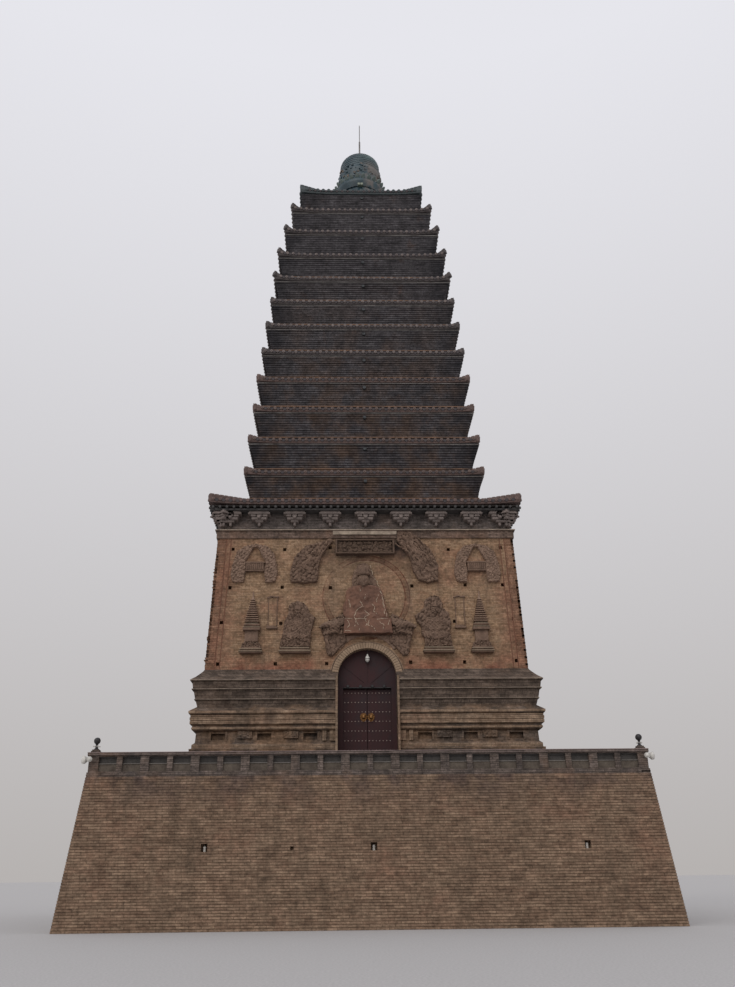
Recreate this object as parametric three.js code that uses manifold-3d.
// A square brick pagoda with thirteen close-set eaves on a battered terrace, as a 1:2 scale model.
// The sizes below are those of the real building in metres, and METRE turns them to model
// millimetres. The origin is the middle of the terrace at ground level, +Z is up, and the door
// faces -Y.
import * as THREE from 'three';
import { mergeVertices } from 'three/addons/utils/BufferGeometryUtils.js';
import Module from 'manifold-3d';

// Scale and the gap that pieces cut by one another keep.
const METRE = 500;
const FIT = 0.3 / METRE;

// Terrace and parapet.
const TERRACE_FOOT = 10.42;
const TERRACE_TOP = 9.94;
const DECK_Z = 4.9;
const PARAPET_FACE = 9.9;
const PARAPET_INNER = 9.5;
const PARAPET_TOP = 5.73;
const PLINTH_TOP = 5.05;
const PLINTH_OUT = 0.03;
const COPING_HEIGHT = 0.11;
const COPING_OUT = 0.05;
const PANEL_BAYS = 11;
const PANEL_PITCH = 1.765;
const PANEL_WIDTH = 0.63;
const PANEL_HEIGHT = 0.51;
const PANEL_DEPTH = 0.2;
const PANEL_BOTTOM = 5.08;
const PANEL_DIVIDER = 0.2;
// Corner blocks in two steps: width and top of each.
const CORNER_BLOCKS = [[0.3, 5.79], [0.24, 5.84]];
const CORNER_BLOCK_TOP = 5.84;

// Ball lamps on the corner blocks, and floodlights at the front corners.
const LAMP_X = 9.72;
const LAMP_BALL_Z = 6.15;
const LAMP_BALL = 0.12;
const LAMP_STEM = 0.025;
const LAMP_FLANGE = 0.09;
const FLOOD_Z = 5.48;
const FLOOD_RADIUS = 0.09;
const FLOOD_WIDE_RADIUS = 0.135;
const FLOOD_DEPTH = 0.12;
const FLOOD_TURN = 45;
const FLOOD_ARM = 0.025;

// Pedestal, walls and chamber: half widths of the square plan.
const WALL_FOOT = 6.56;
const WALL_FOOT_Z = 9.35;
const WALL_HEAD = 6.36;
const WALL_HEAD_Z = 15.05;
const CHAMBER = 2.2;
const PEDESTAL = [
  // plinth and stepped foot
  [7.2, DECK_Z], [7.2, 5.45], [7.0, 5.7], [7.0, 6.02], [6.93, 6.05], [6.93, 6.2], [6.85, 6.23], [6.83, 6.38],
  [6.74, 6.46],
  // niche band, roll, and the middle band with its groove and slope
  [6.72, 6.86], [6.8, 6.89], [6.87, 6.93], [6.88, 7.02], [6.86, 7.06], [6.86, 7.09], [6.92, 7.12], [6.95, 7.4],
  [6.93, 7.43], [6.93, 7.5], [7.0, 7.53], [7.01, 7.63], [6.98, 7.67], [6.74, 7.84],
  // three bands that lean outward, each under a thin fillet
  [6.8, 8.07], [6.85, 8.09], [6.85, 8.13], [6.83, 8.15], [6.89, 8.46], [6.96, 8.48], [6.96, 8.52], [6.92, 8.54],
  [6.96, 8.8], [7.03, 8.82], [7.03, 8.87],
  // slope up to the wall
  [6.98, 8.91], [6.84, 9.02], [6.67, 9.2], [6.6, 9.28], [WALL_FOOT, WALL_FOOT_Z],
];

// Doorway: a round-headed passage through the front wall, and the steps up to its sill.
const SILL_Z = 5.8;
const DOOR_HALF = 1.18;
const ARCH_SPRING = 9.08;
const OVER_DOOR_HALF = 1.3;
const ARCH_RING_OUTER = 1.5;
const ARCH_RING_FACE = 6.64;
const ARCH_RING_BACK = 6.44;
const STEP_COUNT = 5;
const STEP_TREAD = 0.28;
const STEP_HALF = 1.6;

// Door frame and leaves. Each leaf turns inward on a pivot pin at its outer edge.
const FRAME_FRONT = 6.3;
const FRAME_BACK = 6.04;
const JAMB_BACK = 6.19;
const JAMB_WIDTH = 0.2;
const THRESHOLD_TOP = 5.9;
const TRANSOM_BOTTOM = 8.63;
const TRANSOM_TOP = 8.78;
const LEAF_Y = 6.12;
const LEAF_HALF_THICK = 0.035;
const LEAF_OUTER = 1.15;
const LEAF_INNER = 0.01;
const LEAF_GAP = 0.03;
const PIVOT_X = 1.11;
const PIN_RADIUS = 0.03;
const PANEL_THICK = 0.08;
const TRANSOM_PANEL_FRONT = 6.28;
const KNOCKER_X = 0.15;
const KNOCKER_Z = 7.5;
const KNOCKER_RADIUS = 0.12;
const KNOCKER_OUT = 0.05;

// Architrave, bracket course and main eave.
const ARCHITRAVE = [[6.42, WALL_HEAD_Z], [6.42, 15.37], [6.47, 15.37], [6.47, 15.44]];
const BRACKET_WALL = 6.15;
const BRACKET_FOOT = 15.44;
const BRACKET_HEAD = 16.28;
const BRACKET_PITCH = 1.54;
const BRACKET_SIDE_COUNT = 7;
// One bracket set from the bottom up: half width along the wall, face, bottom and top.
const BRACKET_BLOCKS = [[0.1, 6.4, 15.66, 15.86], [0.31, 6.52, 15.82, 16.06], [0.5, 6.62, 16.04, 16.28]];
// The same for a corner set: width from the corner, face, bottom and top.
const CORNER_BRACKET = [[0.45, 6.45, 15.66, 15.86], [0.85, 6.6, 15.82, 16.06], [1.15, 6.72, 16.04, 16.28]];

// Eaves: half width and height of each corner tip, half width where the bricks below start, and
// how far the corners rise over the flat tile edge between them.
const EAVES = [
  { tip: 6.81, top: 17.0, foot: 6.72, rise: 0.26 },
  { tip: 5.49, top: 18.9, foot: 5.18, rise: 0.2 },
  { tip: 5.39, top: 20.58, foot: 5.03, rise: 0.2 },
  { tip: 5.24, top: 22.3, foot: 4.91, rise: 0.2 },
  { tip: 5.14, top: 23.97, foot: 4.84, rise: 0.2 },
  { tip: 4.97, top: 25.59, foot: 4.69, rise: 0.2 },
  { tip: 4.84, top: 27.2, foot: 4.59, rise: 0.2 },
  { tip: 4.66, top: 28.77, foot: 4.43, rise: 0.2 },
  { tip: 4.55, top: 30.47, foot: 4.3, rise: 0.38 },
  { tip: 4.39, top: 32.09, foot: 4.18, rise: 0.4 },
  { tip: 4.11, top: 33.84, foot: 3.94, rise: 0.4 },
  { tip: 3.8, top: 35.55, foot: 3.65, rise: 0.4 },
  { tip: 3.4, top: 37.17, foot: 3.27, rise: 0.38 },
];
const TILE_EDGE = 0.32;
const HIP_HALF = 0.26;
const MAIN_ROOF_PITCH = 0.36;
const ROOF_PITCH = 0.36;
const TOP_ROOF_PITCH = 0.695;
const CORBEL_STEPS = 4;

// Finial.
const FINIAL_SEAT = 1.5;
const FINIAL_PROFILE = [
  [1.45, 0], [1.45, 0.55], [1.28, 0.7], [1.28, 0.95], [1.62, 1.45], [1.62, 1.6], [1.5, 1.85],
  [1.34, 2.1], [1.3, 2.3], [1.33, 2.55], [1.25, 2.75],
];
const DOME_RADIUS = 1.17;
const DOME_SHOULDER_Z = 41.3;
const DOME_CAP = 0.85;
const ROD_COLLAR = 0.08;
const ROD_THICK = 0.05;
const ROD_THIN = 0.025;
const ROD_COLLAR_TOP = 42.38;
const ROD_STEP_Z = 43.6;
const ROD_TOP = 45.0;
const ROUND_SEGMENTS = 24;

const wasm = await Module();
wasm.setup();

// Finishes.
const finish = (color, roughness, metalness = 0) =>
  new THREE.MeshStandardMaterial({ color, roughness, metalness });
const terraceBrick = finish('#7d6a58', 0.92);
const pedestalBrick = finish('#7c6752', 0.9);
const wallBrick = finish('#9a7350', 0.9);
const eaveBrick = finish('#5a4e48', 0.92);
const paleStone = finish('#a39a8c', 0.85);
const doorPaint = finish('#3d2524', 0.55);
const domeGlaze = finish('#35503f', 0.45);
const blackPaint = finish('#1d1b1c', 0.5);
const whitePaint = finish('#d9d7d2', 0.5);
const ironFinish = finish('#4c4947', 0.6, 0.8);

// A closed geometry as a solid: shared corners are merged and faces of no area are dropped.
function solid(geometry) {
  geometry.deleteAttribute('normal');
  geometry.deleteAttribute('uv');
  const merged = mergeVertices(geometry, 1e-3);
  const index = merged.index.array;
  const kept = [];
  for (let i = 0; i < index.length; i += 3) {
    const [a, b, c] = [index[i], index[i + 1], index[i + 2]];
    if (a !== b && b !== c && c !== a) kept.push(a, b, c);
  }
  const vertProperties = Float32Array.from(merged.attributes.position.array);
  return new wasm.Manifold(new wasm.Mesh({ numProp: 3, vertProperties, triVerts: Uint32Array.from(kept) }));
}

// A named mesh of a solid.
function piece(name, shape, material) {
  const made = shape.getMesh();
  const geometry = new THREE.BufferGeometry();
  geometry.setAttribute('position', new THREE.BufferAttribute(made.vertProperties, 3));
  geometry.setIndex(new THREE.BufferAttribute(made.triVerts, 1));
  const mesh = new THREE.Mesh(geometry, material);
  mesh.name = name;
  return mesh;
}

// A box between two corners, in metres.
function block(x0, x1, y0, y1, z0, z1) {
  const box = new THREE.BoxGeometry((x1 - x0) * METRE, (y1 - y0) * METRE, (z1 - z0) * METRE);
  box.translate(((x0 + x1) / 2) * METRE, ((y0 + y1) / 2) * METRE, ((z0 + z1) / 2) * METRE);
  return solid(box);
}

// A turned shape about the Z axis through x, y, from [radius, height] points in metres.
function turned(profile, x = 0, y = 0, segments = ROUND_SEGMENTS) {
  const points = profile.map(([r, z]) => new THREE.Vector2(r * METRE, z * METRE));
  const lathe = new THREE.LatheGeometry(points, segments);
  lathe.rotateX(Math.PI / 2);
  lathe.translate(x * METRE, y * METRE, 0);
  return solid(lathe);
}

// A shape of square plan from [half width, height] points in metres, closed at its bottom and top.
function squareStack(profile) {
  const [, bottom] = profile[0];
  const [, top] = profile[profile.length - 1];
  const points = [[0, bottom], ...profile, [0, top]]
    .map(([half, z]) => new THREE.Vector2(half * Math.SQRT2 * METRE, z * METRE));
  const lathe = new THREE.LatheGeometry(points, 4, Math.PI / 4);
  lathe.rotateX(Math.PI / 2);
  return solid(lathe);
}

// A shape of square plan whose corners rise. Each ring of the profile is [half width, height,
// corner rise], and each side has two knees beside its corners, so a rising corner makes a hip.
function eaveStack(profile) {
  const rings = [[0, profile[0][1], 0], ...profile, [0, profile[profile.length - 1][1], 0]];
  const points = rings.map(([half, z]) => new THREE.Vector2(half * METRE, z * METRE));
  const lathe = new THREE.LatheGeometry(points, 12, Math.PI / 4);
  const position = lathe.attributes.position;
  for (let i = 0; i <= 12; i += 1) {
    const side = Math.floor(i / 3) * (Math.PI / 2) + Math.PI / 4;
    const from = new THREE.Vector2(Math.sin(side), Math.cos(side)).multiplyScalar(Math.SQRT2);
    const next = side + Math.PI / 2;
    const to = new THREE.Vector2(Math.sin(next), Math.cos(next)).multiplyScalar(Math.SQRT2);
    rings.forEach(([half, z, rise], j) => {
      const knee = half > HIP_HALF ? HIP_HALF / (2 * half) : 1 / 3;
      const share = [0, knee, 1 - knee][i % 3];
      const place = from.clone().lerp(to, share).multiplyScalar(half * METRE);
      const height = (z + (i % 3 === 0 ? rise : 0)) * METRE;
      position.setXYZ(i * rings.length + j, place.x, height, place.y);
    });
  }
  lathe.rotateX(Math.PI / 2);
  return solid(lathe);
}

// A flat outline in X and Z, pushed from y0 to y1.
function pushedOutline(shape, y0, y1) {
  const geometry = new THREE.ExtrudeGeometry(shape, {
    depth: (y1 - y0) * METRE,
    bevelEnabled: false,
    curveSegments: 16,
  });
  geometry.rotateX(Math.PI / 2);
  geometry.translate(0, y1 * METRE, 0);
  return solid(geometry);
}

// The outline of the round-headed doorway, shrunk by a gap, from a height up.
function doorwayOutline(bottom, gap) {
  const half = (DOOR_HALF - gap) * METRE;
  const outline = new THREE.Shape();
  outline.moveTo(-half, bottom * METRE);
  outline.lineTo(half, bottom * METRE);
  outline.absarc(0, ARCH_SPRING * METRE, half, 0, Math.PI, false);
  outline.closePath();
  return outline;
}

const pagoda = new THREE.Group();

// Terrace: a battered brick mass, paved on top.
pagoda.add(piece('terrace', squareStack([[TERRACE_FOOT, 0], [TERRACE_TOP, DECK_Z]]), terraceBrick));

// One parapet along +X at the front, with plinth, coping and pairs of recessed panels. The front
// and back ones run over the corners and carry the corner blocks.
function parapet(name, halfLength, hasCornerBlocks) {
  const wallTop = PARAPET_TOP - COPING_HEIGHT;
  const over = hasCornerBlocks;
  const plinthHalf = halfLength + (over ? PLINTH_OUT : 0);
  const copingHalf = halfLength + (over ? COPING_OUT : 0);
  let wall = block(-halfLength, halfLength, -PARAPET_FACE, -PARAPET_INNER, DECK_Z, wallTop)
    .add(block(-plinthHalf, plinthHalf, -PARAPET_FACE - PLINTH_OUT, -PARAPET_INNER, DECK_Z, PLINTH_TOP))
    .add(block(-copingHalf, copingHalf, -PARAPET_FACE - COPING_OUT, -PARAPET_INNER, wallTop, PARAPET_TOP));
  const panelShift = (PANEL_WIDTH + PANEL_DIVIDER) / 2;
  for (let bay = 0; bay < PANEL_BAYS; bay += 1) {
    const bayX = (bay - (PANEL_BAYS - 1) / 2) * PANEL_PITCH;
    for (const side of [-1, 1]) {
      const x = bayX + side * panelShift;
      wall = wall.subtract(block(
        x - PANEL_WIDTH / 2, x + PANEL_WIDTH / 2,
        -PARAPET_FACE - COPING_OUT, -PARAPET_FACE + PANEL_DEPTH,
        PANEL_BOTTOM, PANEL_BOTTOM + PANEL_HEIGHT,
      ));
    }
  }
  if (hasCornerBlocks) {
    for (const side of [-1, 1]) {
      const x = side * LAMP_X;
      for (const [width, top] of CORNER_BLOCKS) {
        const half = width / 2;
        wall = wall.add(block(x - half, x + half, -LAMP_X - half, -LAMP_X + half, PARAPET_TOP, top));
      }
    }
  }
  return piece(name, wall, terraceBrick);
}
const sideHalf = PARAPET_INNER - FIT;
const parapetTurns = [
  ['parapet_front', PARAPET_FACE, true, 0],
  ['parapet_right', sideHalf, false, Math.PI / 2],
  ['parapet_back', PARAPET_FACE, true, Math.PI],
  ['parapet_left', sideHalf, false, -Math.PI / 2],
];
for (const [name, halfLength, hasCornerBlocks, turn] of parapetTurns) {
  const wall = parapet(name, halfLength, hasCornerBlocks);
  wall.rotation.z = turn;
  pagoda.add(wall);
}

// Ball lamps: a flange, a stem and a ball on each corner block.
function cornerLamp(name, x, y) {
  const foot = CORNER_BLOCK_TOP;
  const lowAngle = -Math.PI / 2 + Math.asin(LAMP_STEM / LAMP_BALL);
  const steps = 8;
  const profile = [[0, foot], [LAMP_FLANGE, foot], [LAMP_FLANGE, foot + 0.03], [LAMP_STEM, foot + 0.05]];
  for (let i = 0; i <= steps; i += 1) {
    const angle = lowAngle + ((Math.PI / 2 - lowAngle) * i) / steps;
    const radius = i === steps ? 0 : LAMP_BALL * Math.cos(angle);
    profile.push([radius, LAMP_BALL_Z + LAMP_BALL * Math.sin(angle)]);
  }
  return piece(name, turned(profile, x, y, 12), blackPaint);
}
const cornerSigns = [[-1, -1], [1, -1], [1, 1], [-1, 1]];
cornerSigns.forEach(([sx, sy], i) => {
  pagoda.add(cornerLamp(`corner_lamp_${i + 1}`, sx * LAMP_X, sy * LAMP_X));
});

// Floodlights: at each front corner an arm round the parapet carries two round lamps, a small one
// that looks forward and a wide one that looks out past the corner.
function floodlights(name, side) {
  const face = PARAPET_FACE + FIT;
  const reach = 0.1;
  const inset = 0.07;
  const lamp = (radius) => turned([[0, 0], [radius * 0.6, 0], [radius, FLOOD_DEPTH * 0.6],
    [radius, FLOOD_DEPTH], [0, FLOOD_DEPTH]], 0, 0, 16);
  const frontLamp = lamp(FLOOD_RADIUS).rotate([90, 0, 0])
    .translate([side * (face - inset) * METRE, -(face + reach) * METRE, FLOOD_Z * METRE]);
  const sideLamp = lamp(FLOOD_WIDE_RADIUS).rotate([90, 0, 0]).rotate([0, 0, side * FLOOD_TURN])
    .translate([side * (face + reach) * METRE, -(face - inset) * METRE, FLOOD_Z * METRE]);
  const near = side * (face - inset);
  const arm = block(near - FLOOD_ARM, near + FLOOD_ARM, -(face + reach) - FLOOD_ARM, -face,
    FLOOD_Z - FLOOD_ARM, FLOOD_Z + FLOOD_ARM);
  const xs = [side * face, side * (face + reach + FLOOD_ARM)].sort((a, b) => a - b);
  const sideArm = block(xs[0], xs[1], -(face - inset) - FLOOD_ARM, -(face - inset) + FLOOD_ARM,
    FLOOD_Z - FLOOD_ARM, FLOOD_Z + FLOOD_ARM);
  const wrapX = [near - side * FLOOD_ARM, side * (face + 0.03)].sort((a, b) => a - b);
  const strapFront = block(wrapX[0], wrapX[1], -(face + 0.03), -face, FLOOD_Z - FLOOD_ARM, FLOOD_Z + FLOOD_ARM);
  const strapX = [side * face, side * (face + 0.03)].sort((a, b) => a - b);
  const strapSide = block(strapX[0], strapX[1], -(face + 0.03), -(face - inset),
    FLOOD_Z - FLOOD_ARM, FLOOD_Z + FLOOD_ARM);
  const joined = frontLamp.add(sideLamp).add(arm).add(sideArm).add(strapFront).add(strapSide);
  return piece(name, joined, whitePaint);
}
pagoda.add(floodlights('floodlights_left', -1));
pagoda.add(floodlights('floodlights_right', 1));

// The voids that the walls leave: the doorway with its passage, and the chamber.
const doorway = pushedOutline(doorwayOutline(DECK_Z - 1, 0), -WALL_FOOT - 2, -CHAMBER + 0.1);
const chamber = block(-CHAMBER, CHAMBER, -CHAMBER, CHAMBER, DECK_Z - 1, WALL_HEAD_Z + 1);

// Cuts the parts of one masonry ring out of its whole, by the corners of their plan.
function ringPart(name, ring, [x0, x1, y0, y1], material) {
  const region = block(x0, x1, y0, y1, DECK_Z - 2, WALL_HEAD_Z + 2);
  return piece(name, ring.intersect(region).subtract(chamber).subtract(doorway), material);
}

// Steps up to the sill, and the floor of passage and chamber at its level.
function doorSteps() {
  const rise = (SILL_Z - DECK_Z) / STEP_COUNT;
  const back = PEDESTAL[0][0] + FIT;
  const outline = new THREE.Shape();
  outline.moveTo(back * METRE, DECK_Z * METRE);
  for (let i = STEP_COUNT; i >= 1; i -= 1) {
    const tread = back + STEP_TREAD * (STEP_COUNT - i);
    outline.lineTo(tread * METRE, (DECK_Z + rise * i) * METRE);
    outline.lineTo((tread + STEP_TREAD) * METRE, (DECK_Z + rise * i) * METRE);
  }
  outline.lineTo((back + STEP_TREAD * STEP_COUNT) * METRE, DECK_Z * METRE);
  outline.closePath();
  const geometry = new THREE.ExtrudeGeometry(outline, { depth: 2 * STEP_HALF * METRE, bevelEnabled: false });
  geometry.rotateX(Math.PI / 2);
  geometry.rotateZ(-Math.PI / 2);
  geometry.translate(STEP_HALF * METRE, 0, 0);
  return piece('door_steps', solid(geometry), paleStone);
}
pagoda.add(doorSteps());
const floorHalf = DOOR_HALF - FIT;
const floor = block(-CHAMBER + FIT, CHAMBER - FIT, -CHAMBER + FIT, CHAMBER - FIT, DECK_Z, SILL_Z)
  .add(block(-floorHalf, floorHalf, -PEDESTAL[0][0], 0, DECK_Z, SILL_Z));
pagoda.add(piece('chamber_floor', floor, paleStone));

// Pedestal, in five parts round the chamber.
const pedestal = squareStack(PEDESTAL);
pagoda.add(ringPart('pedestal_front_left', pedestal, [-8, 0, -8, -CHAMBER], pedestalBrick));
pagoda.add(ringPart('pedestal_front_right', pedestal, [0, 8, -8, -CHAMBER], pedestalBrick));
pagoda.add(ringPart('pedestal_left', pedestal, [-8, -CHAMBER, -CHAMBER, CHAMBER], pedestalBrick));
pagoda.add(ringPart('pedestal_right', pedestal, [CHAMBER, 8, -CHAMBER, CHAMBER], pedestalBrick));
pagoda.add(ringPart('pedestal_back', pedestal, [-8, 8, CHAMBER, 8], pedestalBrick));

// Walls of the first storey, split beside and over the doorway.
const walls = squareStack([[WALL_FOOT, WALL_FOOT_Z], [WALL_HEAD, WALL_HEAD_Z]]);
pagoda.add(ringPart('wall_front_left', walls, [-8, -OVER_DOOR_HALF, -8, -CHAMBER], wallBrick));
pagoda.add(ringPart('wall_front_right', walls, [OVER_DOOR_HALF, 8, -8, -CHAMBER], wallBrick));
pagoda.add(ringPart('wall_over_door', walls, [-OVER_DOOR_HALF, OVER_DOOR_HALF, -8, -CHAMBER], wallBrick));
pagoda.add(ringPart('wall_left', walls, [-8, -CHAMBER, -CHAMBER, CHAMBER], wallBrick));
pagoda.add(ringPart('wall_right', walls, [CHAMBER, 8, -CHAMBER, CHAMBER], wallBrick));
pagoda.add(ringPart('wall_back', walls, [-8, 8, CHAMBER, 8], wallBrick));

// Arch ring: stands on the pedestal's top edge and lies on the wall's face.
function archRing() {
  const foot = WALL_FOOT_Z + FIT;
  const drop = foot - ARCH_SPRING;
  const outline = new THREE.Shape();
  const outerAngle = Math.asin(drop / ARCH_RING_OUTER);
  const innerAngle = Math.asin(drop / DOOR_HALF);
  outline.absarc(0, ARCH_SPRING * METRE, ARCH_RING_OUTER * METRE, outerAngle, Math.PI - outerAngle, false);
  outline.absarc(0, ARCH_SPRING * METRE, DOOR_HALF * METRE, Math.PI - innerAngle, innerAngle, true);
  outline.closePath();
  const grownWalls = squareStack([[WALL_FOOT + FIT, WALL_FOOT_Z - 1], [WALL_FOOT + FIT, WALL_FOOT_Z],
    [WALL_HEAD + FIT, WALL_HEAD_Z]]);
  const ring = pushedOutline(outline, -ARCH_RING_FACE, -ARCH_RING_BACK).subtract(grownWalls);
  return piece('arch_ring', ring, paleStone);
}
pagoda.add(archRing());

// Door frame: threshold, jambs and transom bar in one, as a fixed timber frame.
function doorFrame() {
  const half = DOOR_HALF - FIT;
  const low = SILL_Z;
  let frame = block(-half, half, -FRAME_FRONT, -FRAME_BACK, low, THRESHOLD_TOP)
    .add(block(-half, half, -FRAME_FRONT, -FRAME_BACK, TRANSOM_BOTTOM, TRANSOM_TOP));
  for (const side of [-1, 1]) {
    const xs = [side * (half - JAMB_WIDTH), side * half].sort((a, b) => a - b);
    frame = frame.add(block(xs[0], xs[1], -FRAME_FRONT, -JAMB_BACK, THRESHOLD_TOP, TRANSOM_BOTTOM));
  }
  return piece('door_frame', frame, doorPaint);
}
pagoda.add(doorFrame());
const panelOutline = doorwayOutline(TRANSOM_TOP, FIT);
const transomPanel = pushedOutline(panelOutline, -TRANSOM_PANEL_FRONT, -TRANSOM_PANEL_FRONT + PANEL_THICK);
pagoda.add(piece('transom_panel', transomPanel, doorPaint));

// Door leaves, each with its pivot pins and its ring knocker plate.
function doorLeaf(name, side) {
  const xs = [side * LEAF_OUTER, side * LEAF_INNER].sort((a, b) => a - b);
  const leaf = block(xs[0], xs[1], -LEAF_Y - LEAF_HALF_THICK, -LEAF_Y + LEAF_HALF_THICK,
    THRESHOLD_TOP + LEAF_GAP, TRANSOM_BOTTOM - LEAF_GAP);
  const pin = turned([[0, THRESHOLD_TOP + FIT], [PIN_RADIUS, THRESHOLD_TOP + FIT],
    [PIN_RADIUS, TRANSOM_BOTTOM - FIT], [0, TRANSOM_BOTTOM - FIT]], side * PIVOT_X, -LEAF_Y, 12);
  const knocker = turned([[0, 0], [KNOCKER_RADIUS, 0], [KNOCKER_RADIUS * 0.6, KNOCKER_OUT], [0, KNOCKER_OUT]],
    0, 0, 12)
    .rotate([90, 0, 0])
    .translate([side * KNOCKER_X * METRE, -(LEAF_Y + LEAF_HALF_THICK) * METRE, KNOCKER_Z * METRE]);
  return piece(name, leaf.add(pin).add(knocker), doorPaint);
}
pagoda.add(doorLeaf('left_door', -1));
pagoda.add(doorLeaf('right_door', 1));

// Architrave: flat band and ledge, which also closes the chamber.
pagoda.add(piece('architrave', squareStack(ARCHITRAVE), wallBrick));

// Bracket course: a recessed band with bracket sets along each side and at the corners.
function bracketCourse() {
  let course = squareStack([[BRACKET_WALL, BRACKET_FOOT], [BRACKET_WALL, BRACKET_HEAD]]);
  let oneSide = null;
  for (let i = 0; i < BRACKET_SIDE_COUNT; i += 1) {
    const x = (i - (BRACKET_SIDE_COUNT - 1) / 2) * BRACKET_PITCH;
    for (const [half, face, z0, z1] of BRACKET_BLOCKS) {
      const part = block(x - half, x + half, -face, -BRACKET_WALL + 0.1, z0, z1);
      oneSide = oneSide ? oneSide.add(part) : part;
    }
  }
  for (const turn of [0, 90, 180, 270]) course = course.add(oneSide.rotate([0, 0, turn]));
  for (const [width, face, z0, z1] of CORNER_BRACKET) {
    for (const [sx, sy] of cornerSigns) {
      const xs = [sx * face, sx * (face - width)].sort((a, b) => a - b);
      const ys = [sy * face, sy * (face - width)].sort((a, b) => a - b);
      course = course.add(block(xs[0], xs[1], ys[0], ys[1], z0, z1));
    }
  }
  return piece('bracket_course', course, eaveBrick);
}
pagoda.add(bracketCourse());

// The flat height of an eave's tile edge between its corners.
function tileTop(eave) {
  return eave.top - eave.rise;
}

// The height where an eave's roof meets the bricks of the eave above, or the finial.
function roofTop(level) {
  const eave = EAVES[level];
  const isTop = level === EAVES.length - 1;
  const inner = isTop ? FINIAL_SEAT : EAVES[level + 1].foot;
  const lower = level === 0 ? MAIN_ROOF_PITCH : ROOF_PITCH;
  const pitch = isTop ? TOP_ROOF_PITCH : lower;
  return { inner, z: tileTop(eave) + (eave.tip - inner) * pitch };
}

// Main eave: soffit, tile edge with raised corners, and a tiled slope.
function mainEave() {
  const eave = EAVES[0];
  const top = tileTop(eave);
  const roof = roofTop(0);
  const shape = eaveStack([
    [eave.foot, BRACKET_HEAD, 0], [eave.foot, top - TILE_EDGE, 0], [eave.tip, top - TILE_EDGE, 0],
    [eave.tip, top, eave.rise], [roof.inner, roof.z, 0],
  ]);
  return piece('main_eave', shape, eaveBrick);
}
pagoda.add(mainEave());

// A close eave: stepped brick courses that spread upward, a tile edge with raised corners, and a
// short tiled slope up to the next one.
function closeEave(level) {
  const eave = EAVES[level];
  const foot = roofTop(level - 1).z;
  const top = tileTop(eave);
  const soffit = top - TILE_EDGE;
  const roof = roofTop(level);
  const profile = [];
  for (let step = 0; step < CORBEL_STEPS; step += 1) {
    const half = eave.foot + ((eave.tip - 0.04 - eave.foot) * step) / (CORBEL_STEPS - 1);
    profile.push([half, foot + ((soffit - foot) * step) / CORBEL_STEPS, 0]);
    profile.push([half, foot + ((soffit - foot) * (step + 1)) / CORBEL_STEPS, 0]);
  }
  profile.push([eave.tip, soffit, 0], [eave.tip, top, eave.rise], [roof.inner, roof.z, 0]);
  const name = `eave_${String(level + 1).padStart(2, '0')}`;
  return piece(name, eaveStack(profile), eaveBrick);
}
for (let level = 1; level < EAVES.length; level += 1) pagoda.add(closeEave(level));

// Finial: lotus base on the top roof, dome, and lightning rod.
const finialFoot = roofTop(EAVES.length - 1).z;
const baseProfile = FINIAL_PROFILE.map(([r, z]) => [r, z + finialFoot]);
const baseTop = baseProfile[baseProfile.length - 1][1];
pagoda.add(piece('finial_base', turned([[0, finialFoot], ...baseProfile, [0, baseTop]]), domeGlaze));

// The dome: an upright drum under an elliptical cap that ends at the rod's collar.
function domeProfile() {
  const high = Math.acos(ROD_COLLAR / DOME_RADIUS);
  const steps = 12;
  const profile = [[0, baseTop], [DOME_RADIUS, baseTop]];
  for (let i = 0; i <= steps; i += 1) {
    const angle = (high * i) / steps;
    profile.push([DOME_RADIUS * Math.cos(angle), DOME_SHOULDER_Z + DOME_CAP * Math.sin(angle)]);
  }
  const crown = profile[profile.length - 1][1];
  profile.push([0, crown]);
  return { profile, crown };
}
const dome = domeProfile();
pagoda.add(piece('finial_dome', turned(dome.profile), domeGlaze));
const rodProfile = [
  [0, dome.crown], [ROD_COLLAR, dome.crown], [ROD_COLLAR, ROD_COLLAR_TOP - 0.08], [ROD_THICK, ROD_COLLAR_TOP],
  [ROD_THICK, ROD_STEP_Z], [ROD_THIN, ROD_STEP_Z + 0.05], [ROD_THIN, ROD_TOP - 0.1], [0, ROD_TOP],
];
pagoda.add(piece('finial_rod', turned(rodProfile, 0, 0, 10), ironFinish));

export default pagoda;
